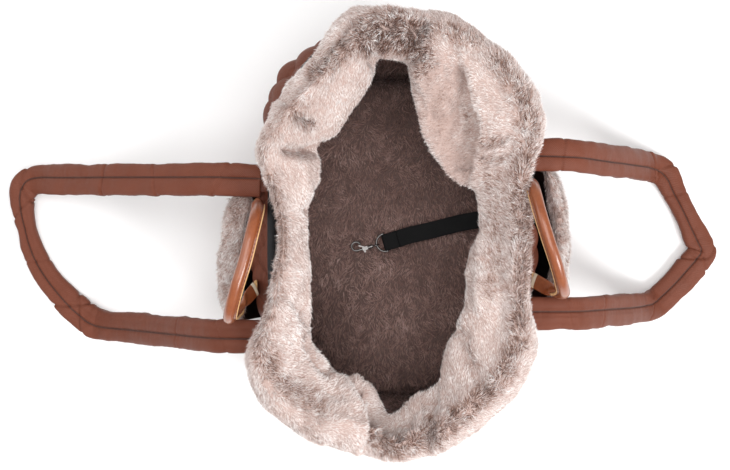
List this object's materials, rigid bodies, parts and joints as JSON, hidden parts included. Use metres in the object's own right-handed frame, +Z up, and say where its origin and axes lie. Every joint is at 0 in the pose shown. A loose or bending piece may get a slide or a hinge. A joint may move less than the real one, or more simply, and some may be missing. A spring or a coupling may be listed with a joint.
{
  "type": "pet carrier tote",
  "caption": "Soft oval pet carrier tote with a fur collar, padded cushion, side pockets, long padded and short leather handles, and a clip-in tether.",
  "frame": {"origin": "on the ground under the middle of the base panel", "axes": "+Z up; Y along the long side of the bag; X across it, through the two side pockets and both pairs of handles"},
  "size_m": [0.8714, 0.4786, 0.3095],
  "materials": {
    "nylon_brown": "matte quilted nylon",
    "nylon_black": "plain black nylon and webbing",
    "fur_pale": "long-pile faux fur, pale with brown tips",
    "fur_brown": "long-pile faux fur, taupe",
    "wadding": "polyester wadding",
    "board": "stiffening board",
    "leather": "glossy rolled tan leather",
    "cord": "twisted core",
    "steel": "bright nickel plate"
  },
  "bodies": {
    "bag": {"base_panel": "nylon_brown", "base_board": "board", "shell_right": "nylon_brown", "shell_far": "nylon_brown", "shell_left": "nylon_brown", "shell_near": "nylon_brown", "wadding_right": "wadding", "wadding_far": "wadding", "wadding_left": "wadding", "wadding_near": "wadding", "lining_right": "fur_brown", "lining_far": "fur_brown", "lining_left": "fur_brown", "lining_near": "fur_brown", "collar_right": "fur_pale", "collar_far": "fur_pale", "collar_left": "fur_pale", "collar_near": "fur_pale", "cushion_cover": "fur_brown", "cushion_filling": "wadding", "pocket_panel_left": "nylon_brown", "pocket_panel_right": "nylon_brown", "pocket_lining_left": "nylon_black", "pocket_lining_right": "nylon_black", "pocket_trim_left": "fur_brown", "pocket_trim_right": "fur_brown", "long_tails_left": "nylon_brown", "long_tails_right": "nylon_brown", "leather_tabs_left": "leather", "leather_tabs_right": "leather", "tether_patch": "nylon_black", "tether_strap": "nylon_black", "tether_loop": "nylon_black"},
    "long_handle_left": {"long_sleeve_left": "nylon_brown", "long_webbing_left": "nylon_black"},
    "long_handle_right": {"long_sleeve_right": "nylon_brown", "long_webbing_right": "nylon_black"},
    "leather_handle_left": {"leather_grip_left": "leather", "leather_core_left": "cord"},
    "leather_handle_right": {"leather_grip_right": "leather", "leather_core_right": "cord"},
    "tether_ring": {"d_ring": "steel"},
    "swivel_eye": {"hook_eye": "steel"},
    "snap_hook": {"hook_body": "steel", "gate_pin": "steel", "gate_spring": "steel"},
    "hook_trigger": {"hook_gate": "steel"}
  },
  "joints": [
    {"name": "long_handle_left_lift", "type": "hinge", "parent": "bag", "child": "long_handle_left", "pos_m": [-0.152, -0.026, 0.203], "axis": [0, 1, 0], "range_deg": [0, 88]},
    {"name": "long_handle_right_lift", "type": "hinge", "parent": "bag", "child": "long_handle_right", "pos_m": [0.152, 0, 0.203], "axis": [0, -1, 0], "range_deg": [0, 88]},
    {"name": "leather_handle_left_tilt", "type": "hinge", "parent": "bag", "child": "leather_handle_left", "pos_m": [-0.151, -0.014, 0.212], "axis": [0, -1, 0], "range_deg": [0, 55], "stiffness_Nm_per_rad": 0.25},
    {"name": "leather_handle_right_tilt", "type": "hinge", "parent": "bag", "child": "leather_handle_right", "pos_m": [0.151, -0.002, 0.212], "axis": [0, 1, 0], "range_deg": [0, 55], "stiffness_Nm_per_rad": 0.25},
    {"name": "tether_ring_hinge", "type": "hinge", "parent": "bag", "child": "tether_ring", "pos_m": [-0.008, -0.009, 0.0695], "axis": [-0.2756, 0.9613, 0], "range_deg": [0, 80]},
    {"name": "swivel_eye_swing", "type": "hinge", "parent": "tether_ring", "child": "swivel_eye", "pos_m": [-0.01809, -0.01189, 0.0695], "axis": [-0.2756, 0.9613, 0], "range_deg": [0, 60]},
    {"name": "snap_hook_swivel", "type": "hinge", "parent": "swivel_eye", "child": "snap_hook", "pos_m": [-0.0253, -0.01396, 0.0695], "axis": [-0.9613, -0.2756, 0], "continuous": true},
    {"name": "hook_trigger_press", "type": "hinge", "parent": "snap_hook", "child": "hook_trigger", "pos_m": [-0.03184, -0.01584, 0.0695], "axis": [0, 0, 1], "range_deg": [0, 14], "stiffness_Nm_per_rad": 0.01}
  ]
}
